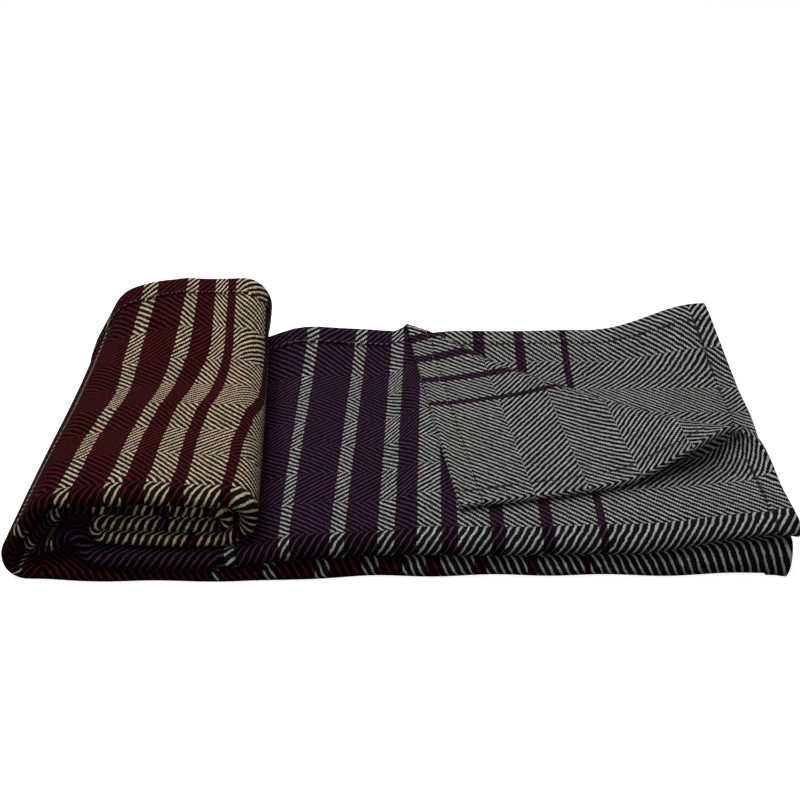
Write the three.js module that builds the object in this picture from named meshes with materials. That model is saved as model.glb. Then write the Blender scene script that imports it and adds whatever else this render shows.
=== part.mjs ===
// A folded wool throw: one woven panel, folded in four across its width and then folded up along its length.
// Millimetres, +Z up, +X along the folded length, +Y towards the back, origin at the middle of the underside.
import * as THREE from "three";

// The cloth, laid flat
const CLOTH_WIDTH = 1390;
const CLOTH_THICKNESS = 2.2;
const TOP_WIDTH = 339;
const SECOND_WIDTH = 340;

// The folded throw
const BACK_HEM = 173;
const FRONT_EDGE = -174;
const BACK_FOLD = 172;

// The way that the folded strip takes, seen from the front. The strip is four plies thick. Here x and z are
// the corners of its middle line, bend is each corner's radius, and pitch is the distance from ply to ply.
const STRIP = [
  { at: "end of the top layer", x: 309, z: 31, bend: 0, pitch: 5.6, steps: 0 },
  { at: "top layer sinks", x: -80, z: 31, bend: 120, pitch: 5.6, steps: 0 },
  { at: "top layer under the roll", x: -140, z: 20, bend: 90, pitch: 4.2, steps: 0 },
  { at: "foot of the hump", x: -243, z: 20, bend: 8, pitch: 3.4, steps: 2 },
  { at: "top of the hump", x: -252.5, z: 38, bend: 8, pitch: 2.9, steps: 3 },
  { at: "tucked loop, lower bend", x: -287.5, z: 16, bend: 5.2, pitch: 2.6, steps: 3 },
  { at: "tucked loop, upper bend", x: -290, z: 26, bend: 5.2, pitch: 2.6, steps: 2 },
  { at: "tucked loop, shoulder", x: -261, z: 58.5, bend: 12, pitch: 2.9, steps: 2 },
  { at: "upper inner layer", x: -215, z: 62, bend: 100, pitch: 3.4, steps: 0 },
  { at: "right inner turn, top", x: -133, z: 62, bend: 7, pitch: 3.1, steps: 2 },
  { at: "right inner turn, bottom", x: -133, z: 48, bend: 7, pitch: 3.1, steps: 2 },
  { at: "left inner turn, top", x: -236.5, z: 48, bend: 6.75, pitch: 3.1, steps: 2 },
  { at: "left inner turn, bottom", x: -236.5, z: 34.5, bend: 6.75, pitch: 3.1, steps: 2 },
  { at: "lower inner layer", x: -136, z: 34.5, bend: 20, pitch: 3.1, steps: 0 },
  { at: "outer turn, lower", x: -117, z: 46, bend: 14, pitch: 3.6, steps: 2 },
  { at: "outer turn, upper", x: -113, z: 80, bend: 16, pitch: 4.6, steps: 3 },
  { at: "top of the roll", x: -205, z: 79, bend: 150, pitch: 4.8, steps: 0 },
  { at: "shoulder of the roll", x: -272, z: 70.5, bend: 22, pitch: 3.3, steps: 2 },
  { at: "left side", x: -304, z: 27, bend: 20, pitch: 2.8, steps: 1 },
  { at: "left foot", x: -304, z: 5.3, bend: 13, pitch: 2.8, steps: 3 },
  { at: "bottom layer under the roll", x: -130, z: 5.9, bend: 50, pitch: 3.2, steps: 0 },
  { at: "bottom layer", x: -80, z: 9, bend: 200, pitch: 5.3, steps: 0 },
  { at: "end of the bottom layer", x: 305, z: 9, bend: 0, pitch: 5.3, steps: 0 },
];

// The grid that the cloth is drawn on, and the small step that its directions are measured over
const LONGEST_STEP = 110;
const SHORTEST_STEP = 1;
const STEPS_PAST_THE_FLAP = 2;
const LEAST_PAST_THE_FLAP = 20;
const NUDGE = 0.4;

// The four plies of the strip, in the order of the cloth's width. Height is in ply pitches from the middle
// line, and reach is the radius of a fold in ply pitches.
const WIDTH_FOLDS = [
  { part: "top", kind: "ply", width: TOP_WIDTH, height: 1.5, from: BACK_HEM, to: FRONT_EDGE, steps: 4 },
  { part: "outer front", kind: "fold", width: 25, reach: 1.5, steps: 5 },
  { part: "bottom", kind: "ply", width: 335, height: -1.5, from: FRONT_EDGE, to: BACK_FOLD, steps: 3 },
  { part: "back", kind: "fold", width: 8, reach: 0.5, steps: 3 },
  { part: "third", kind: "ply", width: 335, height: -0.5, from: BACK_FOLD, to: FRONT_EDGE, steps: 3 },
  { part: "inner front", kind: "fold", width: 8, reach: 0.5, steps: 3 },
  { part: "second", kind: "ply", width: SECOND_WIDTH, height: 0.5, from: FRONT_EDGE, to: BACK_HEM, steps: 5 },
];

// The corner of the top ply, folded over to the front left, with an open loop at the right
const FLAP = {
  alongHem: 299,
  alongEnd: 265,
  rows: 12,
  tip: new THREE.Vector2(49, -148),
  loopRadiusAtHem: 4.5,
  loopRadiusAtEnd: 20.5,
  loopLean: new THREE.Vector2(0, 0.6),
  slopeDown: THREE.MathUtils.degToRad(16),
  restsAbove: 4.6,
  softLanding: 6,
};

// Places where the stack is not even
const ROLL = {
  middleFrom: -235,
  middleTo: -150,
  right: -115,
  ends: -40,
  backRise: 0.11,
  leftDrawnIn: 6,
  rightDrawnIn: 22,
};
const FRONT_BULGE = { everywhere: 2.5, most: 5.5, at: -150, spread: 110 };
const FAN = { fromX: 170, toX: 300, frontY: -175, fadesBy: 190, lift: 22, boundary: 20, squeeze: 0.36 };
const LIFTED_CORNER = { height: 29, alongEnd: 130, alongHem: 120 };
const BACK_EDGE_RISE = { height: 3, fromY: 60, fromX: -20, toX: 60 };

// The middle of the folded throw's outline, where the origin goes
const MIDDLE = { x: 0, y: -4.85 };

const clamp = THREE.MathUtils.clamp;
const ease = (value, from, to) => THREE.MathUtils.smoothstep(value, Math.min(from, to), Math.max(from, to));

// The middle line of the strip as a list of stations, each with its place, direction and ply pitch
function stripStations() {
  const stations = [];
  let travelled = 0;
  let last = null;
  const add = (x, z, heading, pitch) => {
    const moved = last ? Math.hypot(x - last.x, z - last.z) : 0;
    if (last && moved < SHORTEST_STEP) return;
    travelled += moved;
    last = { x, z, heading, pitch, at: travelled };
    stations.push(last);
  };
  const headingOf = (from, to) => Math.atan2(to.z - from.z, to.x - from.x);
  let before = headingOf(STRIP[0], STRIP[1]);
  add(STRIP[0].x, STRIP[0].z, before, STRIP[0].pitch);
  for (let i = 1; i < STRIP.length - 1; i += 1) {
    const corner = STRIP[i];
    const change = headingOf(corner, STRIP[i + 1]) - before;
    const turn = THREE.MathUtils.euclideanModulo(change + Math.PI, 2 * Math.PI) - Math.PI;
    const tangent = corner.bend * Math.tan(Math.abs(turn) / 2);
    const startX = corner.x - tangent * Math.cos(before);
    const startZ = corner.z - tangent * Math.sin(before);
    const side = Math.sign(turn);
    const centreX = startX - side * corner.bend * Math.sin(before);
    const centreZ = startZ + side * corner.bend * Math.cos(before);
    if (corner.steps === 0) add(corner.x, corner.z, before + turn / 2, corner.pitch);
    for (let step = 0; step <= corner.steps && corner.steps > 0; step += 1) {
      const now = before + (turn * step) / corner.steps;
      const x = centreX + side * corner.bend * Math.sin(now);
      const z = centreZ - side * corner.bend * Math.cos(now);
      add(x, z, now, corner.pitch);
    }
    before += turn;
  }
  const end = STRIP[STRIP.length - 1];
  add(end.x, end.z, before, end.pitch);
  return stations;
}

const stations = stripStations();
const CLOTH_LENGTH = stations[stations.length - 1].at;

// The place, direction and pitch of the strip at a distance along it
function stripAt(u) {
  let i = 1;
  while (i < stations.length - 1 && stations[i].at < u) i += 1;
  const a = stations[i - 1];
  const b = stations[i];
  const t = (u - a.at) / Math.max(b.at - a.at, 1e-9);
  const mix = (key) => a[key] + (b[key] - a[key]) * t;
  return { x: mix("x"), z: mix("z"), heading: mix("heading"), pitch: mix("pitch") };
}

// Where a point of the cloth's width lies across the strip: y, and its height over the middle line
function acrossStrip(v, pitch) {
  const frontCentre = FRONT_EDGE + 1.5 * pitch;
  const backCentre = BACK_FOLD - 0.5 * pitch;
  let start = 0;
  let row = WIDTH_FOLDS[0];
  for (row of WIDTH_FOLDS) {
    if (v <= start + row.width) break;
    start += row.width;
  }
  const t = clamp((v - start) / row.width, 0, 1);
  if (row.kind === "ply") {
    const place = (y) => (y === FRONT_EDGE ? frontCentre : y === BACK_FOLD ? backCentre : y);
    return { y: place(row.from) + (place(row.to) - place(row.from)) * t, n: row.height * pitch };
  }
  const reach = row.reach * pitch;
  const out = reach * Math.sin(Math.PI * t);
  const up = reach * Math.cos(Math.PI * t);
  if (row.part === "back") return { y: backCentre + out, n: -pitch - up };
  return { y: frontCentre - out, n: row.part === "inner front" ? -up : up };
}

// The plain folded strip, before its corner is turned over
function foldedPoint(u, v) {
  const strip = stripAt(u);
  const across = acrossStrip(v, strip.pitch);
  return new THREE.Vector3(
    strip.x + across.n * Math.sin(strip.heading),
    across.y,
    strip.z - across.n * Math.cos(strip.heading),
  );
}

// The turned-over corner. The crease runs from the back hem to the end edge, and the cloth bends round it in
// a cone.
function turnedCorner(u, v) {
  const end = STRIP[0].x;
  const crease = Math.hypot(FLAP.alongHem, FLAP.alongEnd);
  const alongX = FLAP.alongHem / crease;
  const alongY = -FLAP.alongEnd / crease;
  const hemX = end - FLAP.alongHem;
  const fromHem = (end - u - hemX) * alongX + (-v) * alongY;
  const beyond = (end - u - hemX) * -alongY + (-v) * alongX;
  const share = clamp(fromHem / crease, 0, 1);
  const radius = FLAP.loopRadiusAtHem + (FLAP.loopRadiusAtEnd - FLAP.loopRadiusAtHem) * share;
  const lifts = -0.5 * Math.PI * radius;
  if (v > TOP_WIDTH || beyond <= lifts) return null;
  const foot = new THREE.Vector2(hemX + fromHem * alongX, BACK_HEM + fromHem * alongY);
  const turned = (beyond - lifts) / radius;
  const whole = Math.PI + FLAP.slopeDown;
  let reach;
  let height;
  if (turned < whole) {
    reach = lifts + radius * Math.sin(turned);
    height = radius * (1 - Math.cos(turned));
  } else {
    const further = (turned - whole) * radius;
    reach = lifts + radius * Math.sin(whole) - further * Math.cos(FLAP.slopeDown);
    height = radius * (1 - Math.cos(whole)) - further * Math.sin(FLAP.slopeDown);
    const over = height - FLAP.restsAbove;
    height = FLAP.restsAbove + 0.5 * (over + Math.hypot(over, FLAP.softLanding));
  }
  const square = new THREE.Vector2(-alongY, alongX);
  const cornerFromHem = FLAP.alongHem * alongX;
  const cornerFoot = new THREE.Vector2(hemX + cornerFromHem * alongX, BACK_HEM + cornerFromHem * alongY);
  const towards = cornerFoot.sub(FLAP.tip).divideScalar(FLAP.alongHem * -alongY);
  const laid = ease(turned, Math.PI / 2, Math.PI);
  const direction = square.clone().lerp(towards, laid);
  const plan = foot.addScaledVector(direction, reach).addScaledVector(FLAP.loopLean, share * height);
  return new THREE.Vector3(plan.x, plan.y, STRIP[0].z + 1.5 * STRIP[0].pitch + height);
}

// The unevenness of the stack: the roll is higher and narrower at the back, the front edge bulges at the
// roll, and the layers open at the right front corner
function uneven(point, u, v) {
  const backwards = clamp((point.y - FRONT_EDGE) / (BACK_HEM - FRONT_EDGE), 0, 1);
  const inRoll = 1 - ease(point.x, ROLL.right, ROLL.ends);
  point.z *= 1 + ROLL.backRise * inRoll * ease(point.z, 0, 60) * backwards;
  const rightPart = ease(point.x, ROLL.middleFrom, ROLL.middleTo);
  const leftEnd = 1 - rightPart;
  const rightEnd = rightPart * inRoll;
  const forwards = 1 - ease(point.y, FRONT_EDGE, 0);
  const bulge = Math.exp(-(((point.x - FRONT_BULGE.at) / FRONT_BULGE.spread) ** 2));
  point.x += backwards * (ROLL.leftDrawnIn * leftEnd - ROLL.rightDrawnIn * rightEnd);
  point.y -= forwards * (FRONT_BULGE.everywhere + FRONT_BULGE.most * bulge);
  const atBack = ease(point.y, BACK_EDGE_RISE.fromY, BACK_HEM);
  const onRight = ease(point.x, BACK_EDGE_RISE.fromX, BACK_EDGE_RISE.toX);
  point.z *= 1 + (BACK_EDGE_RISE.height / STRIP[0].z) * atBack * onRight;
  const open = ease(point.x, FAN.fromX, FAN.toX) * (1 - ease(point.y, FAN.frontY, FAN.frontY + FAN.fadesBy));
  const below = Math.min(point.z, FAN.boundary) / FAN.boundary;
  const above = Math.max(point.z - FAN.boundary, 0);
  const squeezed = Math.min(above, FAN.boundary);
  point.z += open * (FAN.lift * below - FAN.squeeze * squeezed);
  const second = v > CLOTH_WIDTH - SECOND_WIDTH ? 1 : 0;
  const atEnd = 1 - ease(u, 0, LIFTED_CORNER.alongEnd);
  const atHem = 1 - ease(CLOTH_WIDTH - v, 0, LIFTED_CORNER.alongHem);
  point.z += second * LIFTED_CORNER.height * atEnd * atHem;
  point.z = Math.max(point.z, CLOTH_THICKNESS / 2);
  return point;
}

const clothPoint = (u, v) => uneven(turnedCorner(u, v) ?? foldedPoint(u, v), u, v);

// The lines of the grid, along the cloth and across it. In the turned corner they cross on the crease.
function lengthLines() {
  const lines = [];
  for (let i = 0; i < FLAP.rows; i += 1) lines.push((FLAP.alongHem * i) / FLAP.rows);
  let last = FLAP.alongHem;
  lines.push(last);
  for (const station of stations) {
    if (station.at <= FLAP.alongHem + LEAST_PAST_THE_FLAP) continue;
    const parts = Math.ceil((station.at - last) / LONGEST_STEP);
    for (let part = 1; part <= parts; part += 1) lines.push(last + ((station.at - last) * part) / parts);
    last = station.at;
  }
  return lines;
}

function widthLines() {
  const lines = [];
  for (let i = 0; i <= FLAP.rows; i += 1) lines.push((FLAP.alongEnd * i) / FLAP.rows);
  let start = 0;
  for (const row of WIDTH_FOLDS) {
    const from = start === 0 ? FLAP.alongEnd : start;
    const steps = start === 0 ? STEPS_PAST_THE_FLAP : row.steps;
    const width = start + row.width - from;
    for (let step = 1; step <= steps; step += 1) lines.push(from + (width * step) / steps);
    start += row.width;
  }
  return lines;
}

// The cloth as a closed sheet: a face on each side of the middle surface, and a strip round the edge
function closedSheet(us, vs) {
  const positions = [];
  for (const side of [1, -1]) {
    for (const u of us) {
      for (const v of vs) {
        const across = (du, dv) => clothPoint(clamp(u + du, 0, CLOTH_LENGTH), clamp(v + dv, 0, CLOTH_WIDTH));
        const alongLength = across(NUDGE, 0).sub(across(-NUDGE, 0));
        const alongWidth = across(0, NUDGE).sub(across(0, -NUDGE));
        const normal = alongLength.cross(alongWidth).normalize();
        const point = clothPoint(u, v).addScaledVector(normal, (side * CLOTH_THICKNESS) / 2);
        positions.push(point.x, point.y, point.z);
      }
    }
  }
  const index = [];
  const half = us.length * vs.length;
  const vertex = (side, i, j) => side * half + i * vs.length + j;
  for (let i = 0; i < us.length - 1; i += 1) {
    for (let j = 0; j < vs.length - 1; j += 1) {
      for (const side of [0, 1]) {
        const a = vertex(side, i, j);
        const b = vertex(side, i + 1, j);
        const c = vertex(side, i + 1, j + 1);
        const d = vertex(side, i, j + 1);
        if (side === 0) index.push(a, b, d, b, c, d);
        else index.push(a, d, b, b, d, c);
      }
    }
  }
  const rim = [];
  for (let i = 0; i < us.length - 1; i += 1) rim.push([i, 0]);
  for (let j = 0; j < vs.length - 1; j += 1) rim.push([us.length - 1, j]);
  for (let i = us.length - 1; i > 0; i -= 1) rim.push([i, vs.length - 1]);
  for (let j = vs.length - 1; j > 0; j -= 1) rim.push([0, j]);
  rim.forEach(([i, j], k) => {
    const [nextI, nextJ] = rim[(k + 1) % rim.length];
    const a = vertex(0, i, j);
    const b = vertex(0, nextI, nextJ);
    const c = vertex(1, nextI, nextJ);
    const d = vertex(1, i, j);
    index.push(a, d, b, d, c, b);
  });
  const geometry = new THREE.BufferGeometry();
  geometry.setAttribute("position", new THREE.Float32BufferAttribute(positions, 3));
  geometry.setIndex(index);
  geometry.computeVertexNormals();
  return geometry;
}

const wool = new THREE.MeshStandardMaterial({ color: 0x55304a, roughness: 0.95, metalness: 0 });
const cloth = new THREE.Mesh(closedSheet(lengthLines(), widthLines()), wool);
cloth.name = "throw_cloth";

const throwGroup = new THREE.Group();
throwGroup.add(cloth);
throwGroup.position.set(-MIDDLE.x, -MIDDLE.y, 0);
export default throwGroup;
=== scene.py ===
# The folded wool throw: its cloth, hem stitches, floor, light and camera.
# Shapes are worked out in millimetres, in the part's own frame, and handed over in metres.
import math
import bpy
import numpy as np
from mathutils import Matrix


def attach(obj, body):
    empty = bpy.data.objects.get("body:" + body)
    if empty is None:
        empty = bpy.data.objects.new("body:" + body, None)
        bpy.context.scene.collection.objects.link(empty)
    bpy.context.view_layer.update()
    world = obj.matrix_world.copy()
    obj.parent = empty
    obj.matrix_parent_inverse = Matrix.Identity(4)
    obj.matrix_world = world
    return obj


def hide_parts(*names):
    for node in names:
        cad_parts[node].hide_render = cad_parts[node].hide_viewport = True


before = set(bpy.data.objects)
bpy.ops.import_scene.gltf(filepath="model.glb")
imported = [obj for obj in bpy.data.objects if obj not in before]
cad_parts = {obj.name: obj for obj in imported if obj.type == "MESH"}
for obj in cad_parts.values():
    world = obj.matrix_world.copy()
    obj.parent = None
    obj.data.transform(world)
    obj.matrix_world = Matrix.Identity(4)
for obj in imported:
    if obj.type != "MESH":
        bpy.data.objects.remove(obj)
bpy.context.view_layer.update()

# The cloth, laid flat
WIDTH = 1390.0
THICKNESS = 2.2
TOP_WIDTH = 339.0
SECOND_WIDTH = 340.0
FRONT_FOLD = 25.0

# Its hems: the extra thickness and the outer bead, by the distance from the cloth's edge
HEM = 17.5
BACK_HEM_WIDTH = 28.0
BACK_HEM_U = (290.0, 330.0)
HEM_EXTRA = 1.5
HEM_AT = [0.0, 1.2, HEM - 0.9, HEM + 0.7]
HEM_SHARE = [0.35, 1.0, 1.0, 0.0]
BEAD = 0.9
BEAD_AT = [0.0, 1.2, 3.5, 8.0]
BEAD_SHARE = [0.2, 1.0, 0.9, 0.0]
RIM = 6.0

# How far the crease of the turned corner flattens the hem around it
CREASE = {"along": 22.0, "across": 30.0, "flatter": 0.9}

# The folded throw
BACK_HEM = 173.0
FRONT_EDGE = -174.0
BACK_FOLD = 172.0
MIDDLE_Y = -4.85
LOWEST = 0.02

# The way of the folded strip, seen from the front: corners of its middle line
STRIP = [
    {"at": "end of the top layer", "x": 309, "z": 31, "bend": 0, "pitch": 5.6, "steps": 0},
    {"at": "top layer sinks", "x": -80, "z": 31, "bend": 120, "pitch": 5.6, "steps": 0},
    {"at": "top layer under the roll", "x": -140, "z": 20, "bend": 90, "pitch": 4.2, "steps": 0},
    {"at": "foot of the hump", "x": -243, "z": 20, "bend": 8, "pitch": 3.4, "steps": 2},
    {"at": "top of the hump", "x": -252.5, "z": 38, "bend": 8, "pitch": 2.9, "steps": 3},
    {"at": "tucked loop, lower bend", "x": -287.5, "z": 16, "bend": 5.2, "pitch": 2.6, "steps": 3},
    {"at": "tucked loop, upper bend", "x": -290, "z": 26, "bend": 5.2, "pitch": 2.6, "steps": 2},
    {"at": "tucked loop, shoulder", "x": -261, "z": 58.5, "bend": 12, "pitch": 2.9, "steps": 2},
    {"at": "upper inner layer", "x": -215, "z": 62, "bend": 100, "pitch": 3.4, "steps": 0},
    {"at": "right inner turn, top", "x": -133, "z": 62, "bend": 7, "pitch": 3.1, "steps": 2},
    {"at": "right inner turn, bottom", "x": -133, "z": 48, "bend": 7, "pitch": 3.1, "steps": 2},
    {"at": "left inner turn, top", "x": -236.5, "z": 48, "bend": 6.75, "pitch": 3.1, "steps": 2},
    {"at": "left inner turn, bottom", "x": -236.5, "z": 34.5, "bend": 6.75, "pitch": 3.1, "steps": 2},
    {"at": "lower inner layer", "x": -136, "z": 34.5, "bend": 20, "pitch": 3.1, "steps": 0},
    {"at": "outer turn, lower", "x": -117, "z": 46, "bend": 14, "pitch": 3.6, "steps": 2},
    {"at": "outer turn, upper", "x": -113, "z": 80, "bend": 16, "pitch": 4.6, "steps": 3},
    {"at": "top of the roll", "x": -205, "z": 79, "bend": 150, "pitch": 4.8, "steps": 0},
    {"at": "shoulder of the roll", "x": -272, "z": 70.5, "bend": 22, "pitch": 3.3, "steps": 2},
    {"at": "left side", "x": -304, "z": 27, "bend": 20, "pitch": 2.8, "steps": 1},
    {"at": "left foot", "x": -304, "z": 5.3, "bend": 13, "pitch": 2.8, "steps": 3},
    {"at": "bottom layer under the roll", "x": -130, "z": 5.9, "bend": 50, "pitch": 3.2, "steps": 0},
    {"at": "bottom layer", "x": -80, "z": 9, "bend": 200, "pitch": 5.3, "steps": 0},
    {"at": "end of the bottom layer", "x": 305, "z": 9, "bend": 0, "pitch": 5.3, "steps": 0},
]

# The plies of the strip in the order of the cloth's width
WIDTH_FOLDS = [
    {"part": "top", "width": TOP_WIDTH, "lines": 8},
    {"part": "outer front", "width": FRONT_FOLD, "lines": 12},
    {"part": "bottom", "width": 335.0, "lines": 7},
    {"part": "back", "width": 8.0, "lines": 5},
    {"part": "third", "width": 335.0, "lines": 7},
    {"part": "inner front", "width": 8.0, "lines": 6},
    {"part": "second", "width": SECOND_WIDTH, "lines": 22},
]

# The corner that is turned over, the roll, the plies spread at the right end, and the raised corner
FLAP = {
    "along_hem": 303.5, "along_end": 265.0, "rows": 48, "tip": (42.0, -148.5),
    "radius_at_hem": 4.2, "radius_at_end": 20.5, "opens": 2.6, "lean": 0.6,
    "slope": math.radians(16), "rests_above": 7.6, "soft_landing": 6.5,
}
ROLL = {"middle_from": -235.0, "middle_to": -150.0, "right": -115.0, "ends": -40.0,
        "left_in": 10.0, "right_in": 19.0}
FAN = {"from_x": 170.0, "to_x": 300.0, "front_y": -175.0, "fades_by": 190.0, "lift": 22.0, "boundary": 20.0,
       "squeeze": 0.36}
LIFTED_CORNER = {"height": 29.0, "along_end": 130.0, "along_hem": 120.0}

# Height from front to back, as a share of that at the front: the roll, its shoulder, then the main part
RISE_Y = [-174, -125, -85, -44, 0, 40, 80, 130, 173]
RISE_ROLL = [1.0, 1.015, 0.995, 0.985, 0.965, 0.985, 1.05, 1.14, 1.20]
RISE_SHOULDER = [1.06, 1.06, 1.05, 1.035, 1.015, 1.0, 1.015, 1.09, 1.19]
RISE_MAIN = [1.0, 0.99, 0.985, 0.98, 0.98, 0.985, 1.0, 1.08, 1.215]

# How far the right end stands out, from front to back
END_Y = [-190, -130, -80, -20, 20, 80, 115, 145, 173]
END_OUT = [-2, -4, -4, 4, 7, 4, -3, -10, -14]
END_X = (190.0, 309.0)
END_Z = (18.0, 36.0)

# How far the front folds of the inner layers stand back, along the cloth
RECESS_U = [545, 575, 610, 640, 700, 1000, 1050, 1290, 1340]
RECESS = [0, 9, 13, 12, 9, 9, 0, 0, 3]
FRONT_REACH = 70.0
FRONT_OUT = 2.8

# How tightly the plies lie, along the cloth, and where the bottom layer settles on the floor
TIGHT_U = [560, 590, 700, 1000, 1060, 1290, 1340, 1500, 1560]
TIGHT = [1.0, 0.86, 0.77, 0.77, 1.0, 1.0, 0.84, 0.84, 0.93]
SETTLES_U = (1280.0, 1340.0)

# From the first place backwards the cloth is drawn nearer, so that the back edge comes to the second
CLOSER_FROM = 40.0
CLOSER_BACK = 156.0
CLOSER_SOFT = 15.0

# Local shapes: where they lie, and how far they move the cloth
SHOULDER_X = (-278.0, -205.0)
RISES_Z = (-30.0, 50.0)
FRONT_BULGE = {"x": -150.0, "spread": 110.0, "everywhere": 2.5, "in_middle": 5.5}
MAIN_BACK = {"share": 0.2, "from_y": 70.0, "x": (-20.0, 60.0)}
SWELL_FROM_Y = 60.0
ROLL_SWELL = {"by": 4.0, "x": -235.0, "spread": 26.0, "z": (50.0, 80.0)}
SIDE_SWELL = {"by": 4.0, "x": -95.0, "spread": 30.0, "z": (15.0, 30.0), "gone_z": (45.0, 60.0)}
LEFT_FRONT = {"by": 1.2, "x": (-300.0, -240.0), "y": (-60.0, 40.0)}

# Unevenness: how much, how long its waves are in millimetres, and the seed of its draws
UNEVEN_PITCH = {"by": 0.05, "size": 90, "seed": 4}
UNEVEN_HEIGHT = {"by": 0.011, "size": 125, "seed": 1}
UNEVEN_FRONT = {"by": 1.3, "size": 62, "seed": 2}


def ease(value, start, end):
    t = np.clip((value - start) / (end - start), 0.0, 1.0)
    return t * t * (3.0 - 2.0 * t)


def wander(a, b, kind):
    """A smooth uneven field, of about -1 to 1 times what its kind says."""
    rng = np.random.default_rng(kind["seed"])
    total = 0.0
    for _ in range(6):
        angle = rng.uniform(0, 2 * math.pi)
        wave = 2 * math.pi / (kind["size"] * rng.uniform(0.7, 1.6))
        shift = rng.uniform(0, 2 * math.pi)
        total = total + np.sin(wave * (a * math.cos(angle) + b * math.sin(angle)) + shift)
    return kind["by"] * (total / 2.6)


def strip_path():
    """The middle line of the strip, close-set: distance, x, z, heading and ply pitch."""
    rows = [(0.0, STRIP[0]["x"], STRIP[0]["z"], math.pi, STRIP[0]["pitch"])]
    before = math.pi
    last_x, last_z, travelled = STRIP[0]["x"], STRIP[0]["z"], 0.0
    for corner, after in zip(STRIP[1:-1], STRIP[2:]):
        out = math.atan2(after["z"] - corner["z"], after["x"] - corner["x"])
        turn = (out - before + math.pi) % (2 * math.pi) - math.pi
        tangent = corner["bend"] * math.tan(abs(turn) / 2)
        start_x = corner["x"] - tangent * math.cos(before)
        start_z = corner["z"] - tangent * math.sin(before)
        side = math.copysign(1.0, turn)
        centre_x = start_x - side * corner["bend"] * math.sin(before)
        centre_z = start_z + side * corner["bend"] * math.cos(before)
        travelled += math.hypot(start_x - last_x, start_z - last_z)
        steps = corner["steps"]
        chord = 2 * tangent if steps == 0 else 2 * steps * corner["bend"] * math.sin(abs(turn) / (2 * steps))
        count = max(3, math.ceil(abs(turn) / math.radians(3)))
        for k in range(count + 1):
            now = before + turn * k / count
            x = centre_x + side * corner["bend"] * math.sin(now)
            z = centre_z - side * corner["bend"] * math.cos(now)
            rows.append((travelled + chord * k / count, x, z, now, corner["pitch"]))
        travelled += chord
        before += turn
        last_x, last_z = rows[-1][1], rows[-1][2]
    end = STRIP[-1]
    travelled += math.hypot(end["x"] - last_x, end["z"] - last_z)
    rows.append((travelled, end["x"], end["z"], before, end["pitch"]))
    return np.array(rows)


def smoothed(values, sigma):
    reach = int(4 * sigma)
    kernel = np.exp(-0.5 * (np.arange(-reach, reach + 1) / sigma) ** 2)
    kernel /= kernel.sum()
    front = 2 * values[0] - values[reach:0:-1]
    back = 2 * values[-1] - values[-2:-reach - 2:-1]
    return np.convolve(np.concatenate([front, values, back]), kernel, mode="valid")


def smooth_table(at, values, sigma):
    """A table of a few rows as a close-set smooth one, at every millimetre."""
    places = np.arange(at[0], at[-1] + 1.0)
    return places, smoothed(np.interp(places, at, values), sigma)


SMOOTH_ROLL = smooth_table(RISE_Y, RISE_ROLL, 14)
SMOOTH_SHOULDER = smooth_table(RISE_Y, RISE_SHOULDER, 14)
SMOOTH_MAIN = smooth_table(RISE_Y, RISE_MAIN, 14)
SMOOTH_END = smooth_table(END_Y, END_OUT, 12)
PATH = strip_path()
LENGTH = PATH[-1, 0]
PATH_U = np.linspace(0, LENGTH, int(LENGTH) * 2)
PATH_X = smoothed(np.interp(PATH_U, PATH[:, 0], PATH[:, 1]), 4)
PATH_Z = smoothed(np.interp(PATH_U, PATH[:, 0], PATH[:, 2]), 4)
PATH_HEADING = smoothed(np.interp(PATH_U, PATH[:, 0], PATH[:, 3]), 6)
PATH_PITCH = smoothed(np.interp(PATH_U, PATH[:, 0], PATH[:, 4]), 14)


def across_strip(v, pitch):
    front = FRONT_EDGE + 1.5 * pitch
    back = BACK_FOLD - 0.5 * pitch
    y = np.zeros_like(v + pitch)
    n = np.zeros_like(y)
    start = 0.0
    for row in WIDTH_FOLDS:
        inside = (v >= start) & (v <= start + row["width"])
        t = np.clip((v - start) / row["width"], 0, 1)
        part = row["part"]
        if part == "top":
            here, up = BACK_HEM + (front - BACK_HEM) * t, 1.5 * pitch
        elif part == "outer front":
            here, up = front - 1.5 * pitch * np.sin(np.pi * t), 1.5 * pitch * np.cos(np.pi * t)
        elif part == "bottom":
            here, up = front + (back - front) * t, -1.5 * pitch
        elif part == "back":
            here, up = back + 0.5 * pitch * np.sin(np.pi * t), -pitch - 0.5 * pitch * np.cos(np.pi * t)
        elif part == "third":
            here, up = back + (front - back) * t, -0.5 * pitch
        elif part == "inner front":
            here, up = front - 0.5 * pitch * np.sin(np.pi * t), -0.5 * pitch * np.cos(np.pi * t)
        else:
            here, up = front + (BACK_HEM - front) * t, 0.5 * pitch
        y = np.where(inside, here, y)
        n = np.where(inside, up, n)
        start += row["width"]
    return y, n


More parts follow.
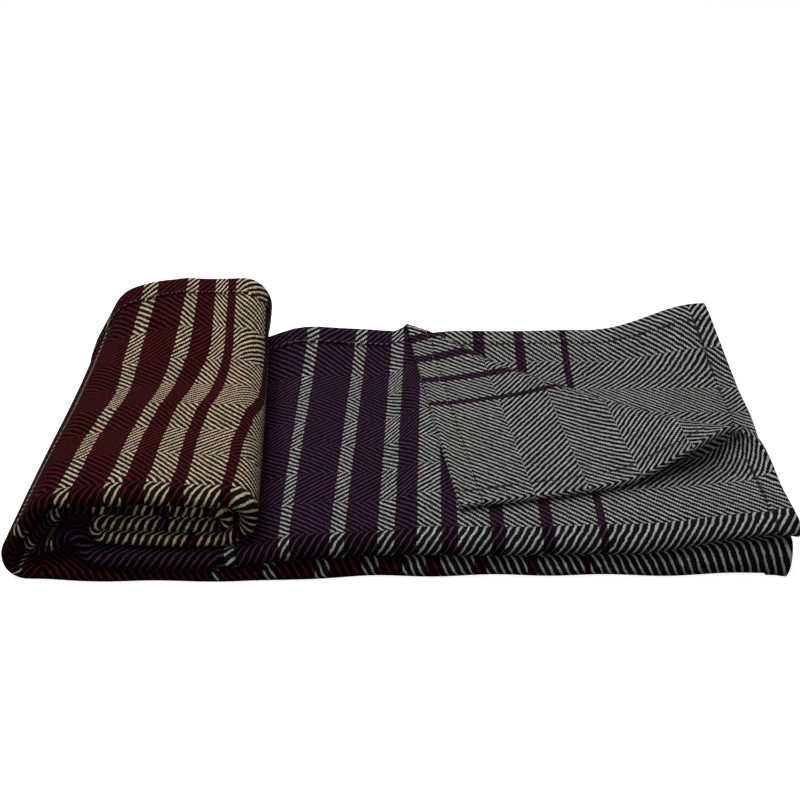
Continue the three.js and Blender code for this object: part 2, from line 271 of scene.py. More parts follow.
def turned_corner(u, v):
    end = STRIP[0]["x"]
    crease = math.hypot(FLAP["along_hem"], FLAP["along_end"])
    ax, ay = FLAP["along_hem"] / crease, -FLAP["along_end"] / crease
    hem_x = end - FLAP["along_hem"]
    from_hem = (end - u - hem_x) * ax - v * ay
    beyond = (end - u - hem_x) * -ay - v * ax
    share = np.clip(from_hem / crease, 0, 1)
    radius = FLAP["radius_at_hem"] + (FLAP["radius_at_end"] - FLAP["radius_at_hem"]) * share ** FLAP["opens"]
    lifts = -0.5 * math.pi * radius
    turned = (beyond - lifts) / radius
    whole = math.pi + FLAP["slope"]
    bent = turned < whole
    further = (turned - whole) * radius
    reach = np.where(bent, lifts + radius * np.sin(turned),
                     lifts + radius * math.sin(whole) - further * math.cos(FLAP["slope"]))
    falling = radius * (1 - math.cos(whole)) - further * math.sin(FLAP["slope"])
    over = falling - FLAP["rests_above"]
    resting = FLAP["rests_above"] + 0.5 * (over + np.hypot(over, FLAP["soft_landing"]))
    height = np.where(bent, radius * (1 - np.cos(turned)), resting)
    corner_from = FLAP["along_hem"] * ax
    corner_x = hem_x + corner_from * ax
    corner_y = BACK_HEM + corner_from * ay
    laid = ease(turned, math.pi / 2, math.pi)
    span = FLAP["along_hem"] * -ay
    dir_x = -ay + ((corner_x - FLAP["tip"][0]) / span + ay) * laid
    dir_y = ax + ((corner_y - FLAP["tip"][1]) / span - ax) * laid
    x = hem_x + from_hem * ax + dir_x * reach
    y = BACK_HEM + from_hem * ay + dir_y * reach + FLAP["lean"] * share * height
    z = STRIP[0]["z"] + 1.5 * STRIP[0]["pitch"] + height
    return x, y, z, (v <= TOP_WIDTH) & (beyond > lifts)


def surface(u, v):
    """Where the middle of the cloth lies, in millimetres, for a place on the flat cloth."""
    pitch = np.interp(u, PATH_U, PATH_PITCH) * (1 + wander(u, 0 * u, UNEVEN_PITCH))
    tight = np.interp(u, TIGHT_U, TIGHT)
    settles = 1.5 * pitch * (1 - tight) * ease(u, *SETTLES_U)
    pitch = pitch * tight
    heading = np.interp(u, PATH_U, PATH_HEADING)
    y, n = across_strip(v, pitch)
    x = np.interp(u, PATH_U, PATH_X) + n * np.sin(heading)
    z = np.interp(u, PATH_U, PATH_Z) - settles - n * np.cos(heading)
    fx, fy, fz, turned = turned_corner(u, v)
    x, y, z = np.where(turned, fx, x), np.where(turned, fy, y), np.where(turned, fz, z)
    in_roll = 1 - ease(x, ROLL["right"], ROLL["ends"])
    on_shoulder = 1 - ease(x, *SHOULDER_X)
    roll_rise = np.interp(y, *SMOOTH_SHOULDER) * on_shoulder + np.interp(y, *SMOOTH_ROLL) * (1 - on_shoulder)
    rise = roll_rise * in_roll + np.interp(y, *SMOOTH_MAIN) * (1 - in_roll)
    z = z * (1 + (rise - 1) * ease(z, *RISES_Z))
    backwards = np.clip((y - FRONT_EDGE) / (BACK_HEM - FRONT_EDGE), 0, 1)
    right_part = ease(x, ROLL["middle_from"], ROLL["middle_to"])
    forwards = 1 - ease(y, FRONT_EDGE, 0)
    bulge = np.exp(-((x - FRONT_BULGE["x"]) / FRONT_BULGE["spread"]) ** 2)
    x = x + backwards * (ROLL["left_in"] * (1 - right_part) - ROLL["right_in"] * right_part * in_roll)
    y = y - forwards * (FRONT_BULGE["everywhere"] + FRONT_BULGE["in_middle"] * bulge)
    on_right = ease(x, *MAIN_BACK["x"])
    z = z * (1 + MAIN_BACK["share"] * ease(y, MAIN_BACK["from_y"], BACK_HEM) * on_right)
    at_back = ease(y, SWELL_FROM_Y, BACK_HEM)
    hump = np.exp(-((x - ROLL_SWELL["x"]) / ROLL_SWELL["spread"]) ** 2)
    z = z + ROLL_SWELL["by"] * at_back * ease(z, *ROLL_SWELL["z"]) * hump
    hump = np.exp(-((x - SIDE_SWELL["x"]) / SIDE_SWELL["spread"]) ** 2)
    not_gone = 1 - ease(z, *SIDE_SWELL["gone_z"])
    z = z + SIDE_SWELL["by"] * at_back * ease(z, *SIDE_SWELL["z"]) * not_gone * hump
    x = x - LEFT_FRONT["by"] * (1 - ease(x, *LEFT_FRONT["x"])) * (1 - ease(y, *LEFT_FRONT["y"]))
    x = x + np.interp(y, *SMOOTH_END) * ease(x, *END_X) * ease(z, *END_Z)
    forwards = 1 - ease(y, FAN["front_y"], FAN["front_y"] + FAN["fades_by"])
    opens = ease(x, FAN["from_x"], FAN["to_x"]) * forwards
    below = np.minimum(z, FAN["boundary"]) / FAN["boundary"]
    above = np.clip(z - FAN["boundary"], 0, FAN["boundary"])
    z = z + opens * (FAN["lift"] * below - FAN["squeeze"] * above)
    second = v > WIDTH - SECOND_WIDTH
    from_end = 1 - ease(u, 0, LIFTED_CORNER["along_end"])
    at_corner = from_end * (1 - ease(WIDTH - v, 0, LIFTED_CORNER["along_hem"]))
    z = z + second * LIFTED_CORNER["height"] * at_corner
    closer = (BACK_HEM - CLOSER_BACK) / (BACK_HEM - CLOSER_FROM)
    y = y - closer * 0.5 * (y - CLOSER_FROM + np.hypot(y - CLOSER_FROM, CLOSER_SOFT))
    z = z * (1 + wander(x, y, UNEVEN_HEIGHT))
    near_front = 1 - ease(y, FRONT_EDGE, FRONT_EDGE + FRONT_REACH)
    y = y + near_front * np.interp(u, RECESS_U, RECESS)
    y = y - near_front * (FRONT_OUT + wander(u, 0 * u, UNEVEN_FRONT))
    z = np.maximum(z, THICKNESS / 2)
    return np.stack([x, y, z], axis=-1)


def hem_share(u, v):
    """How much of the hem's extra thickness a place has, and its distance from the cloth's edge."""
    wider = (BACK_HEM_WIDTH - HEM) * ease(u, *BACK_HEM_U)
    at_side = np.minimum(v - wider * ease(v, 1.5, HEM), WIDTH - v)
    from_edge = np.minimum(at_side, np.minimum(u, LENGTH - u))
    return np.interp(from_edge, HEM_AT, HEM_SHARE), from_edge


def normals(u, v):
    step = 0.4
    along = surface(np.clip(u + step, 0, LENGTH), v) - surface(np.clip(u - step, 0, LENGTH), v)
    across = surface(u, np.clip(v + step, 0, WIDTH)) - surface(u, np.clip(v - step, 0, WIDTH))
    normal = np.cross(along, across)
    return normal / np.maximum(np.linalg.norm(normal, axis=-1, keepdims=True), 1e-9)


def face_point(u, v, side):
    """A point on one face of the cloth: side 1 is the top ply's upper face, -1 the other."""
    share, from_edge = hem_share(u, v)
    creased = np.exp(-((u - FLAP["along_hem"]) / CREASE["along"]) ** 2 - (v / CREASE["across"]) ** 2)
    bead = BEAD * np.interp(from_edge, BEAD_AT, BEAD_SHARE) * (1 - creased)
    half = THICKNESS / 2 + bead
    if side > 0:
        half = half + HEM_EXTRA * share * (1 - CREASE["flatter"] * creased)
    return surface(u, v) + normals(u, v) * np.reshape(side * half, np.shape(half) + (1,))


def in_metres(points):
    return (points - np.array([0.0, MIDDLE_Y, 0.0])) / 1000.0


# The grid of the cloth: its lines by every hem, and its spacing where the strip runs straight and bends
HEM_LINES = [1.2, 3.5, HEM - 0.9, HEM + 0.7]
GRID_STRAIGHT = 10.0
GRID_BEND = math.radians(12.5)


def near_side_hem():
    """Extra lines by the side hem, where the fold of the turned corner is tight."""
    between = FLAP["along_end"] / FLAP["rows"] * (np.arange(7) + 0.5)
    return HEM_LINES + [BACK_HEM_WIDTH - 0.9, BACK_HEM_WIDTH + 0.7] + list(between)


def length_lines():
    lines = list(np.linspace(0, FLAP["along_hem"], FLAP["rows"] + 1)) + HEM_LINES
    lines += [FLAP["along_hem"] * (1 - at / FLAP["along_end"]) for at in near_side_hem()]
    heading = np.abs(np.gradient(PATH_HEADING, PATH_U))
    wanted = np.cumsum((1 / GRID_STRAIGHT + heading / GRID_BEND) * (PATH_U[1] - PATH_U[0]))
    wanted -= np.interp(FLAP["along_hem"], PATH_U, wanted)
    count = int(wanted[-1])
    lines += list(np.interp(np.linspace(0, wanted[-1], count + 1)[1:], wanted, PATH_U))
    lines += [LENGTH - h for h in HEM_LINES] + [COLUMN_SHIFTS - 0.25, COLUMN_SHIFTS + 0.25]
    return np.array(sorted(lines))


def width_lines():
    lines = list(np.linspace(0, FLAP["along_end"], FLAP["rows"] + 1)) + near_side_hem()
    start = 0.0
    for row in WIDTH_FOLDS:
        first = FLAP["along_end"] if start == 0 else start
        last = start + row["width"]
        lines += list(np.linspace(first, last, row["lines"] + 1)[1:])
        start = last
    lines += [WIDTH - h for h in HEM_LINES]
    return np.array(sorted(lines))


# How the weave lies on the plies: column lines of the herringbone against the width of the cloth
COLUMN = 40.7
FIRST_COLUMN = 18.0
SECOND_COLUMNS = 32
WEAVE_LINES = [0.0] + [FIRST_COLUMN + COLUMN * k for k in range(8)] + [306.0]
FLAP_LINES_AT = [0.0, 18.0, 62.0, 107.0, 151.0, 196.0, 240.0, 284.0, 329.0, 339.0]
MAIN_LINES_AT = [0.0, 29.0, 90.0, 135.0, 175.0, 217.0, 256.0, 298.0, 335.0, 339.0]
ROLL_LINES_AT = [0.0, 29.0, 88.0, 142.0, 187.0, 220.0, 261.0, 296.0, 332.0, 339.0]
SECOND_LINES_AT = [0.0, 23.0, 79.0, 124.0, 168.0, 212.0, 255.0, 298.0, 335.0, 339.0]

# How far the stripes lie to the right at the back of the top ply, along the cloth and from front to back
SKEW_U = [0, 230, 295, 357, 396, 450, 1068, 1250, 1500]
SKEW_MOST = [0, 0, 7, 10, 12, 12, 17, 17, 0]
SKEW_Y = [-161, -147, -132, -117, -102, -86, -70, -54, -37, -20, 0, 173]
SKEW_ROLL = [0, 0.12, 0.18, 0.21, 0.26, 0.38, 0.5, 0.59, 0.82, 0.97, 1, 1]
SKEW_MAIN = {"from_y": -161.0, "over": 270.0, "most": 1.2}

# How much further to the right than that the stripes of the roll lie at the back, and below 0 to the left
SPREAD_U = [1000, 1068, 1080, 1097, 1119, 1152, 1193, 1240, 1300]
SPREAD_MOST = [0, 5, 10, 19, 11, -1, -10, -9, 0]
SPREAD_Y = (-70.0, 70.0)

# How much of the weave is seen going round the front fold, along the cloth
FOLD_U = [0, 430, 560, 640, 1000, 1070, 1250, 1330, 1450, 1887]
FOLD_SPAN = [17, 16, 12, 6, 6, 13, 12, 9, 10, 12]

# Where the columns lie otherwise: by a whole one from this place on, and by a part of one under the roll
COLUMN_SHIFTS = 1302.0
UNDER_ROLL = {"by": 12.0, "from_u": (436.0, 456.0), "to_u": (600.0, 680.0)}

# Where the main part's weave goes over to the roll's, and how far the plain hem's is off the face's
ROLL_U = (450.0, 1060.0)
PLAIN_HEM_SHIFT = 19.2


def weave_place(u, v):
    """Where a point of the cloth falls on the pattern of the weave."""
    in_roll = ease(u, *ROLL_U)
    flap_v = np.interp(v, FLAP_LINES_AT, WEAVE_LINES)
    main_v = np.interp(v, MAIN_LINES_AT, WEAVE_LINES)
    roll_v = np.interp(v, ROLL_LINES_AT, WEAVE_LINES)
    back_v = np.interp(WIDTH - v, SECOND_LINES_AT, WEAVE_LINES)
    on_top = flap_v + (main_v - flap_v) * ease(u, *BACK_HEM_U) + (roll_v - main_v) * in_roll
    round_fold = np.interp(u, FOLD_U, FOLD_SPAN)
    past = np.maximum(v - TOP_WIDTH - FRONT_FOLD, 0)
    below = WEAVE_LINES[-1] + np.clip(v - TOP_WIDTH, 0, FRONT_FOLD) / FRONT_FOLD * round_fold + past
    on_second = FIRST_COLUMN + SECOND_COLUMNS * COLUMN - back_v
    weave_v = np.where(v <= TOP_WIDTH, on_top, np.where(v < WIDTH - SECOND_WIDTH, below, on_second))
    y = BACK_HEM - v
    main_profile = np.clip((y - SKEW_MAIN["from_y"]) / SKEW_MAIN["over"], 0, SKEW_MAIN["most"])
    profile = np.interp(y, SKEW_Y, SKEW_ROLL) * in_roll + main_profile * (1 - in_roll)
    spread = np.interp(u, SPREAD_U, SPREAD_MOST) * ease(y, *SPREAD_Y)
    shift = np.interp(u, SKEW_U, SKEW_MOST) * profile + spread
    under_roll = UNDER_ROLL["by"] * ease(u, *UNDER_ROLL["from_u"]) * (1 - ease(u, *UNDER_ROLL["to_u"]))
    weave_v = weave_v + np.where(u > COLUMN_SHIFTS, COLUMN, 0) + under_roll
    return u + np.where(v <= TOP_WIDTH, shift, 0), weave_v


def into_scene(name, mesh):
    """The mesh, shaded smooth, as an object of the scene."""
    mesh.polygons.foreach_set("use_smooth", np.ones(len(mesh.polygons), dtype=bool))
    mesh.update()
    piece = bpy.data.objects.new(name, mesh)
    bpy.context.scene.collection.objects.link(piece)
    return piece


def cloth_faces(nu, nv):
    """The quads of the upper grid, of the lower grid, and of the rim that joins them."""
    half = nu * nv
    i, j = np.meshgrid(np.arange(nu - 1), np.arange(nv - 1), indexing="ij")
    a = (i * nv + j).ravel()
    b, c, d = a + nv, a + nv + 1, a + 1
    quads = [np.stack([a, b, c, d], 1), np.stack([a, d, c, b], 1) + half]
    rim = [(k, 0) for k in range(nu - 1)] + [(nu - 1, k) for k in range(nv - 1)]
    rim += [(k, nv - 1) for k in range(nu - 1, 0, -1)] + [(0, k) for k in range(nv - 1, 0, -1)]
    edge = np.array([p * nv + q for p, q in rim])
    following = np.roll(edge, -1)
    quads.append(np.stack([edge, edge + half, following + half, following], 1))
    return np.concatenate(quads)


def make_cloth():
    us, vs = length_lines(), width_lines()
    nu, nv = len(us), len(vs)
    half = nu * nv
    u, v = np.meshgrid(us, vs, indexing="ij")
    points = np.concatenate([face_point(u, v, 1).reshape(-1, 3), face_point(u, v, -1).reshape(-1, 3)])
    points[:, 2] = np.maximum(points[:, 2], LOWEST)
    faces = cloth_faces(nu, nv)
    mesh = bpy.data.meshes.new("folded_cloth")
    mesh.from_pydata(in_metres(points).tolist(), [], faces.tolist())
    weave_u, weave_v = weave_place(u, v)
    loop_u = np.tile(weave_u.ravel(), 2)[faces]
    loop_v = np.tile(weave_v.ravel(), 2)[faces]
    face_u = np.tile(u.ravel(), 2)[faces].mean(1)
    face_v = np.tile(v.ravel(), 2)[faces].mean(1)
    on_lower = faces[:, 0] >= half
    loop_v[on_lower & (face_v < HEM)] += PLAIN_HEM_SHIFT
    turned_hem = on_lower & (face_u < HEM) & (face_v > WIDTH - SECOND_WIDTH)
    loop_u[turned_hem] = 2 * HEM - loop_u[turned_hem]
    rim_faces = np.arange(len(faces)) >= 2 * (nu - 1) * (nv - 1)
    far_side = rim_faces[:, None] & (faces >= half)
    at_end = rim_faces[:, None] & ((face_u < 0.01) | (face_u > LENGTH - 0.01))[:, None]
    loop_u -= np.where(far_side & at_end, RIM, 0)
    loop_v -= np.where(far_side & ~at_end, RIM, 0)
    layer = mesh.uv_layers.new(name="cloth")
    layer.data.foreach_set("uv", (np.stack([loop_u, loop_v], -1) / 1000.0).ravel())
    print("cloth", nu, "x", nv, "lines,", 2 * len(faces), "triangles")
    return into_scene("folded_cloth", mesh)


# Running stitches of the hems: the line they follow, the face they show on, and where it starts and ends
STITCH_LINES = [
    {"line": "top hem", "across": 26.0, "side": 1, "from": 322.0, "to": 1262.0},
    {"line": "turned corner, hem", "across": 16.0, "side": -1, "from": 20.0, "to": 285.0},
    {"line": "second ply, hem", "across": WIDTH - 16.0, "side": -1, "from": 20.0, "to": 320.0},
    {"line": "turned corner, end", "along": 16.0, "side": -1, "from": 18.0, "to": 262.0},
    {"line": "top ply, end", "along": 16.0, "side": 1, "from": 225.0, "to": 338.0},
    {"line": "second ply, end", "along": 16.0, "side": -1, "from": WIDTH - 335.0, "to": WIDTH - 18.0},
]
STITCH = {"every": 5.2, "length": 3.0, "width": 0.75, "proud": 0.35, "sunk": 0.2}
STRIPES_FROM = 147.0
PALE_THREAD = 0
DARK_THREAD = 1


def make_stitches():
    points, faces, materials = [], [], []
    rng = np.random.default_rng(8)
    for row in STITCH_LINES:
        places = np.arange(row["from"], row["to"], STITCH["every"])
        places = places + rng.uniform(-0.4, 0.4, len(places))
        fixed = row.get("across", row.get("along"))
        for place in places:
            near = place + STITCH["length"] * np.array([-0.5, 0.0, 0.5]) * rng.uniform(0.8, 1.1)
            held = np.full(3, fixed + rng.uniform(-0.3, 0.3))
            u, v = (near, held) if "across" in row else (held, near)
            base = face_point(u, v, row["side"])
            normal = normals(u, v) * row["side"]
            ahead = base[2] - base[0]
            ahead = ahead / np.linalg.norm(ahead)
            aside = np.cross(normal[1], ahead)
            start = len(points)
            for k, share in enumerate([0.45, 1.0, 0.45]):
                half_width = 0.5 * STITCH["width"] * share
                points.append(base[k] - aside * half_width - normal[k] * STITCH["sunk"])
                points.append(base[k] + normal[k] * STITCH["proud"] * share)
                points.append(base[k] + aside * half_width - normal[k] * STITCH["sunk"])
            for p in (start, start + 3):
                faces += [(p, p + 1, p + 4, p + 3), (p + 1, p + 2, p + 5, p + 4), (p + 2, p, p + 3, p + 5)]
            faces += [(start, start + 2, start + 1), (start + 6, start + 7, start + 8)]
            on_stripes = place > STRIPES_FROM and "across" in row
            materials += [PALE_THREAD if on_stripes else DARK_THREAD] * 8
    mesh = bpy.data.meshes.new("hem_stitches")
    mesh.from_pydata(in_metres(np.array(points)).tolist(), [], faces)
    mesh.materials.append(thread_material("thread_pale", (0.42, 0.40, 0.38)))
    mesh.materials.append(thread_material("thread_dark", (0.03, 0.028, 0.028)))
    mesh.polygons.foreach_set("material_index", materials)
    return into_scene("hem_stitches", mesh)


# The stripes, as distances along the cloth from the end of the top layer, in millimetres
PURPLE_ON_GREY = [(146.8, 153.3), (187.9, 196.9), (227.5, 237.6), (264.0, 276.4),
                  (294.7, 312.6), (325.5, 351.1), (362.1, 392.8), (401.7, 436.6)]
PURPLE_FROM = 442.5
CREAM_ON_PURPLE = [(586.0, 592.0), (611.0, 620.0), (646.0, 656.0), (681.5, 692.6),
                   (710.6, 727.6), (741.6, 765.6), (776.0, 793.0), (801.0, 837.5)]
CREAM_FROM = 843.0
RED_ON_CREAM = [(976.0, 981.5), (1014.0, 1023.0), (1063.7, 1071.0), (1099.0, 1110.6),
                (1128.0, 1146.0), (1159.0, 1187.5), (1198.6, 1232.0), (1241.0, 1278.0)]
RED_FROM = 1284.0

# The last stripes, as distances from the end of the bottom layer
GREY_FROM_END = 452.9
RED_ON_GREY_FROM_END = [(412.5, 447.0), (372.5, 403.9), (335.6, 361.5), (303.4, 322.3),
                        (274.4, 286.6), (237.8, 248.8), (197.5, 206.1), (155.9, 161.4)]


def stripe_starts():
    """Where each stripe starts along the cloth, with its colour."""
    starts = [(0.0, "grey")]
    for first, last in PURPLE_ON_GREY:
        starts += [(first, "purple"), (last, "grey")]
    starts.append((PURPLE_FROM, "purple"))
    for first, last in CREAM_ON_PURPLE:
        starts += [(first, "cream"), (last, "purple")]
    starts.append((CREAM_FROM, "cream"))
    for first, last in RED_ON_CREAM:
        starts += [(first, "red"), (last, "cream")]
    starts += [(RED_FROM, "red"), (LENGTH - GREY_FROM_END, "grey")]
    for first, last in RED_ON_GREY_FROM_END:
        starts += [(LENGTH - last, "red"), (LENGTH - first, "grey")]
    return starts


def linear(*srgb):
    """A screen colour of 0 to 255 a channel, as linear light."""
    return tuple((c / 255 / 12.92 if c < 10.3 else ((c / 255 + 0.055) / 1.055) ** 2.4) for c in srgb)


THREADS = {
    "grey": linear(198, 198, 196),
    "cream": linear(232, 210, 178),
    "purple": linear(94, 55, 90),
    "red": linear(110, 26, 37),
    "black": linear(9, 8, 9),
}


class Wiring:
    """Short ways to add shader nodes to a material."""

    def __init__(self, material):
        self.tree = material.node_tree
        self.tree.nodes.clear()

    def add(self, kind, **settings):
        node = self.tree.nodes.new(kind)
        for key, value in settings.items():
            setattr(node, key, value)
        return node

    def feed(self, socket, value):
        if isinstance(value, bpy.types.NodeSocket):
            self.tree.links.new(value, socket)
        else:
            socket.default_value = value

    def math(self, operation, *values):
        node = self.add("ShaderNodeMath", operation=operation)
        for socket, value in zip(node.inputs, values):
            self.feed(socket, value)
        return node.outputs[0]

    def range(self, value, low, high, to_low=0.0, to_high=1.0, smooth=True):
        node = self.add("ShaderNodeMapRange", interpolation_type="SMOOTHSTEP" if smooth else "LINEAR")
        for socket, item in zip(node.inputs, (value, low, high, to_low, to_high)):
            self.feed(socket, item)
        return node.outputs[0]

    def mix(self, share, first, second, blend="MIX"):
        node = self.add("ShaderNodeMix", data_type="RGBA", blend_type=blend)
        self.feed(node.inputs[0], share)
        self.feed(node.inputs[6], first)
        self.feed(node.inputs[7], second)
        return node.outputs[2]

    def noise(self, vector, scale, detail=2.0):
        node = self.add("ShaderNodeTexNoise")
        self.feed(node.inputs["Vector"], vector)
        node.inputs["Scale"].default_value = scale
        node.inputs["Detail"].default_value = detail
        return node.outputs["Fac"]


def thread_material(name, colour):
    material = bpy.data.materials.new(name)
    material.use_nodes = True
    shader = material.node_tree.nodes["Principled BSDF"]
    shader.inputs["Base Color"].default_value = (*colour, 1)
    shader.inputs["Roughness"].default_value = 0.85
    return material


# The weave: the parts of the length that one ramp of stripes covers, one weft thread, one repeat of the
# twill and its slant, and the sway and fuzz of the threads
RAMPS = [(0.0, 470.0), (470.0, 940.0), (940.0, 1410.0), (1410.0, 1900.0)]
PICK = 1.6
REPEAT = 6.4
SLANT = 1.1
SWAY_U = {"scale": 110.0, "by": 2.4}
SWAY_V = {"scale": 170.0, "by": 2.2}
FUZZ = {"scale": 900.0, "by": 0.9}

# Where across the weave the twill shows as smooth ropes: on the front folds and on the hems' edges
FOLD_BEGINS = (296.0, 308.0)
FOLD_ENDS = (390.0, 375.0)
TOP_EDGE = (10.0, 3.0)
SECOND_EDGE = (1304.0, 1312.0)

STITCHED_SHARE = 0.62
FLECK_COLOUR = (0.42, 0.36, 0.33, 1)


def uneven(w, place, kind):
    """Noise on either side of 0."""
    return w.math("MULTIPLY_ADD", w.noise(place, kind["scale"]), kind["by"], -kind["by"] / 2)


def stripe_colour(w, pick_u):
    """The colour of the weft at its place along the cloth, from a row of ramps."""
    starts = stripe_starts()
    colour = None
    for low, high in RAMPS:
        ramp = w.add("ShaderNodeValToRGB")
        ramp.color_ramp.interpolation = "CONSTANT"
        elements = ramp.color_ramp.elements
        while len(elements) > 1:
            elements.remove(elements[-1])
        elements[0].position = 0.0
        elements[0].color = (*THREADS[[name for start, name in starts if start <= low][-1]], 1)
        for start, name in starts:
            if low < start < high:
                element = elements.new((start - low) / (high - low))
                element.color = (*THREADS[name], 1)
        w.feed(ramp.inputs[0], w.range(pick_u, low, high, smooth=False))
        here = ramp.outputs[0]
        colour = here if colour is None else w.mix(w.math("GREATER_THAN", pick_u, low), colour, here)
    return colour


def stitch_groove(w, u, v):
    """1 in the small grooves that the hem stitches press into the cloth, where the cloth's colour is
    darkened as painted shade, and 0 elsewhere.
    """
    by_side = w.range(w.math("ABSOLUTE", w.math("SUBTRACT", v, FIRST_COLUMN)), 1.7, 0.8)
    by_second = w.range(w.math("ABSOLUTE", w.math("SUBTRACT", v, SECOND_COLUMNS * COLUMN)), 1.7, 0.8)
    dash_u = w.math("LESS_THAN", w.math("FRACT", w.math("DIVIDE", u, STITCH["every"])), STITCHED_SHARE)
    groove = w.math("MULTIPLY", w.math("MAXIMUM", by_side, by_second), dash_u)
    by_end = w.range(w.math("ABSOLUTE", w.math("SUBTRACT", u, HEM)), 1.6, 0.7)
    dash_v = w.math("LESS_THAN", w.math("FRACT", w.math("DIVIDE", v, STITCH["every"])), STITCHED_SHARE)
    return w.math("MAXIMUM", groove, w.math("MULTIPLY", by_end, dash_v))


def wool_material():
    material = bpy.data.materials.new("striped_wool")
    material.use_nodes = True
    w = Wiring(material)
    place = w.add("ShaderNodeUVMap", uv_map="cloth").outputs[0]
    apart = w.add("ShaderNodeSeparateXYZ")
    w.feed(apart.inputs[0], place)
    u = w.math("ADD", w.math("MULTIPLY", apart.outputs[0], 1000.0), uneven(w, place, SWAY_U))
    v = w.math("ADD", w.math("MULTIPLY", apart.outputs[1], 1000.0), uneven(w, place, SWAY_V))

    # The floats of the twill, and how far a point is from the middle of its own
    pick = w.math("FLOOR", w.math("DIVIDE", u, PICK))
    pick_u = w.math("MULTIPLY", w.math("ADD", pick, 0.5), PICK)
    from_hem = w.math("SUBTRACT", v, FIRST_COLUMN)
    column = w.math("FLOOR", w.math("DIVIDE", from_hem, COLUMN))
    odd = w.math("FLOORED_MODULO", column, 2.0)
    zigzag = w.math("PINGPONG", from_hem, COLUMN)
    on_fold = w.math("MULTIPLY", w.range(v, *FOLD_BEGINS), w.range(v, *FOLD_ENDS))
    on_edge = w.math("MAXIMUM", w.range(v, *TOP_EDGE), w.range(v, *SECOND_EDGE))
    roped = w.math("MAXIMUM", on_fold, on_edge)
    smooth_u = w.math("MULTIPLY", w.math("SUBTRACT", u, pick_u), w.range(roped, 0.0, 1.0, 0.35, 1.0))
    phase = w.math("ADD", w.math("ADD", pick_u, smooth_u), w.math("MULTIPLY", zigzag, SLANT))
    phase = w.math("ADD", phase, w.math("MULTIPLY", odd, REPEAT / 2))
    repeats = w.math("DIVIDE", phase, REPEAT)
    own = w.add("ShaderNodeCombineXYZ")
    for socket, value in zip(own.inputs, (pick, w.math("FLOOR", repeats), column)):
        w.feed(socket, value)
    chance = w.add("ShaderNodeTexWhiteNoise")
    w.feed(chance.inputs["Vector"], own.outputs[0])
    along = w.math("MULTIPLY_ADD", w.math("FRACT", repeats), 4.0, -1.0)
    along = w.math("MULTIPLY", along, along)
    aside = w.math("MULTIPLY_ADD", w.math("FRACT", w.math("DIVIDE", u, PICK)), 2.0, -1.0)
    aside = w.math("MULTIPLY", aside, aside)
    aside = w.math("MULTIPLY", aside, w.range(roped, 0.0, 1.0, 0.24, 0.04))
    away = w.math("ADD", aside, w.math("MULTIPLY", along, 0.72))
    away = w.math("ADD", away, uneven(w, place, FUZZ))
    away = w.math("ADD", away, w.math("MULTIPLY", on_fold, 0.2))

    # Pale weft covers a little more of the black warp than dark weft does
    colour = stripe_colour(w, pick_u)
    channels = w.add("ShaderNodeSeparateColor")
    w.feed(channels.inputs[0], colour)
    away = w.math("ADD", away, w.math("MULTIPLY_ADD", channels.outputs[1], -0.17, 0.15))
    weft = w.range(away, 0.72, 0.42)
    bulge = w.math("MAXIMUM", w.math("SUBTRACT", 1.0, away), 0.0)

    # The shade: painted shading that is lighter over the middle of each round float, a tone that differs at
    # random from one float to the next, and painted shade that darkens the grooves of the stitches
    fine = w.noise(place, 1500.0, 1.0)
    broad = w.noise(place, 25.0, 3.0)
    # Painted shading: the colour is lighter over the middle of each float and darker at its sides
    painted_shading_and_tone = w.math("MULTIPLY_ADD", bulge, 0.95, 0.36)
    painted_shading_and_tone = w.math("MULTIPLY", painted_shading_and_tone, w.math("MULTIPLY_ADD", chance.outputs["Value"], 0.4, 0.8))
    painted_shading_and_tone = w.math("MULTIPLY", painted_shading_and_tone, w.math("MULTIPLY_ADD", fine, 0.8, 0.6))
    # Painted shade: the colour is darkened in the grooves that the hem stitches press into the cloth
    painted_shading_and_tone = w.math("MULTIPLY", painted_shading_and_tone, w.math("MULTIPLY_ADD", stitch_groove(w, u, v), -0.85, 1.0))
    painted_shading_and_tone = w.math("MULTIPLY", painted_shading_and_tone, w.math("MULTIPLY_ADD", broad, 0.3, 0.85))
    grey = w.add("ShaderNodeCombineXYZ")
    for socket in grey.inputs:
        w.feed(socket, painted_shading_and_tone)
    thread = w.mix(1.0, colour, grey.outputs[0], "MULTIPLY")
    fleck = w.range(w.noise(place, 2600.0, 1.0), 0.66, 0.8)
    ground = w.mix(0.012, (*THREADS["black"], 1), colour)
    base = w.mix(weft, ground, thread)
    base = w.mix(w.math("MULTIPLY", fleck, 0.2), base, FLECK_COLOUR)

    height = w.math("ADD", w.math("MULTIPLY", bulge, 0.8), w.math("MULTIPLY", fine, 0.25))
    bump = w.add("ShaderNodeBump")
    bump.inputs["Strength"].default_value = 0.55
    bump.inputs["Distance"].default_value = 0.0006
    w.feed(bump.inputs["Height"], height)
    shader = w.add("ShaderNodeBsdfPrincipled")
    w.feed(shader.inputs["Base Color"], base)
    shader.inputs["Roughness"].default_value = 0.92
    shader.inputs["Specular IOR Level"].default_value = 0.04
    shader.inputs["Sheen Weight"].default_value = 0.02
    shader.inputs["Sheen Roughness"].default_value = 0.5
    w.feed(shader.inputs["Normal"], bump.outputs[0])
    out = w.add("ShaderNodeOutputMaterial")
    w.feed(out.inputs["Surface"], shader.outputs[0])
    return material


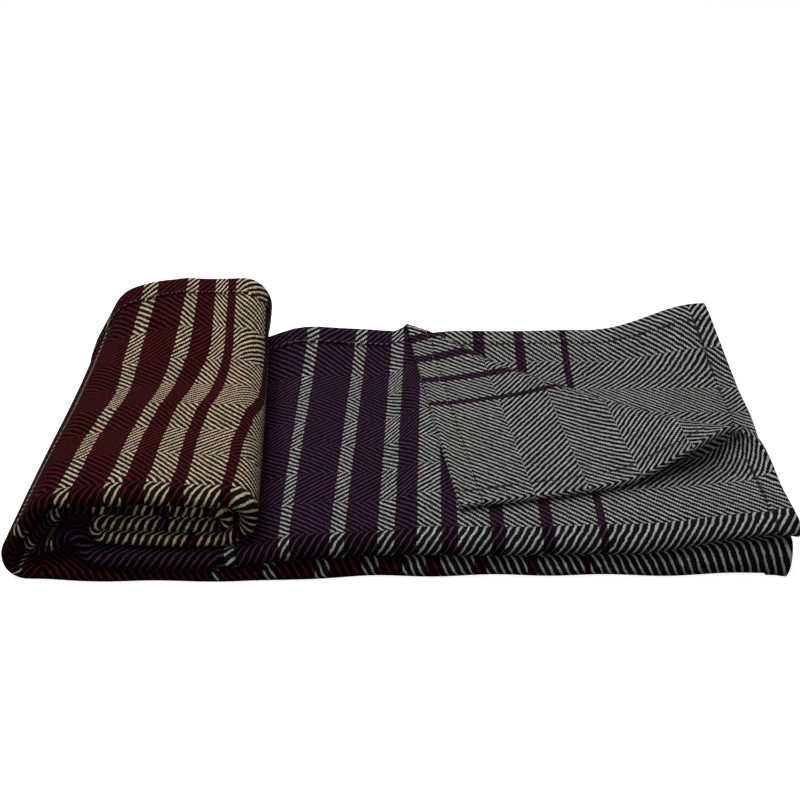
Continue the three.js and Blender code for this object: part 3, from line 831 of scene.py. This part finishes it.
# Camera, in front of the throw and looking down on it
CAMERA_Y = -1032.4
CAMERA_HEIGHT = 0.6569
CAMERA_TILT = math.radians(60)
camera_data = bpy.data.cameras.new("camera")
camera_data.lens = 61.2
camera_data.sensor_width = 36.0
camera = bpy.data.objects.new("camera", camera_data)
camera.location = (0.0, (CAMERA_Y - MIDDLE_Y) / 1000.0, CAMERA_HEIGHT)
camera.rotation_euler = (CAMERA_TILT, 0, 0)
bpy.context.scene.collection.objects.link(camera)
bpy.context.scene.camera = camera

# The throw
cloth = make_cloth()
cloth.data.materials.append(wool_material())
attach(cloth, "root")
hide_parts("throw_cloth")
stitches = make_stitches()
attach(stitches, "root")

# Floor, and a plain white surround that casts no shadow
FLOOR_REACH = 6.0
SURROUND = {"radius": 5.9, "from_z": -0.01, "to_z": 9.0, "sides": 48}


def white_set_piece(name, points, faces, grey, glow):
    """A glowing white piece of the set that lends the throw no light of its own."""
    mesh = bpy.data.meshes.new(name)
    mesh.from_pydata(points, [], faces)
    piece = bpy.data.objects.new(name, mesh)
    bpy.context.scene.collection.objects.link(piece)
    material = thread_material(name + "_white", (grey, grey, grey))
    shader = material.node_tree.nodes["Principled BSDF"]
    shader.inputs["Emission Color"].default_value = (1.0, 1.0, 1.0, 1)
    shader.inputs["Emission Strength"].default_value = glow
    mesh.materials.append(material)
    piece.visible_diffuse = False
    piece.visible_glossy = False
    return piece


far = FLOOR_REACH
floor = white_set_piece("floor", [(-far, -far, 0), (far, -far, 0), (far, far, 0), (-far, far, 0)],
                        [(0, 1, 2, 3)], 0.8, 0.88)
sides = SURROUND["sides"]
turns = [2 * math.pi * k / sides for k in range(sides)]
ring = [(SURROUND["radius"] * math.cos(t), SURROUND["radius"] * math.sin(t), z)
        for z in (SURROUND["from_z"], SURROUND["to_z"]) for t in turns]
walls = [(k, (k + 1) % sides, sides + (k + 1) % sides, sides + k) for k in range(sides)]
surround = white_set_piece("surround", ring, walls, 0.0, 1.0)
surround.visible_shadow = False

# Soft light from all round, brighter from above
SKY_LEVEL = 0.025
SKY_OVERHEAD = 0.42
world = bpy.data.worlds.new("world")
world.use_nodes = True
sky = world.node_tree
direction = sky.nodes.new("ShaderNodeTexCoord")
upright = sky.nodes.new("ShaderNodeSeparateXYZ")
sky.links.new(direction.outputs["Generated"], upright.inputs[0])
brighter = sky.nodes.new("ShaderNodeMapRange")
for socket, value in zip(brighter.inputs[1:], (0.0, 1.0, SKY_LEVEL, SKY_OVERHEAD)):
    socket.default_value = value
sky.links.new(upright.outputs[2], brighter.inputs[0])
sky.links.new(brighter.outputs[0], sky.nodes["Background"].inputs[1])
bpy.context.scene.world = world

# Lamps, in metres and watts
LAMPS = [
    {"name": "overhead", "place": (-0.35, 0.75, 1.6), "aim": (-0.05, 0.0, 0.0),
     "size": (1.2, 0.7), "power": 8.3},
    {"name": "above the front", "place": (-0.35, -0.6, 1.75), "aim": (0.0, 0.0, 0.0),
     "size": (1.2, 0.6), "power": 10.6},
    {"name": "front", "place": (0.0, -1.6, 0.8), "aim": (0.05, 0.0, 0.0),
     "size": (1.0, 0.5), "power": 3.5},
]


def area_light(name, place, aim, size, power):
    data = bpy.data.lights.new(name, "AREA")
    data.shape = "RECTANGLE"
    data.size, data.size_y = size
    data.energy = power
    light = bpy.data.objects.new(name, data)
    light.location = place
    away = np.array(place) - np.array(aim)
    flat = math.hypot(away[0], away[1])
    light.rotation_euler = (math.atan2(flat, away[2]), 0, math.atan2(away[0], -away[1]))
    bpy.context.scene.collection.objects.link(light)


for lamp in LAMPS:
    area_light(**lamp)
bpy.context.scene.view_settings.view_transform = "Standard"
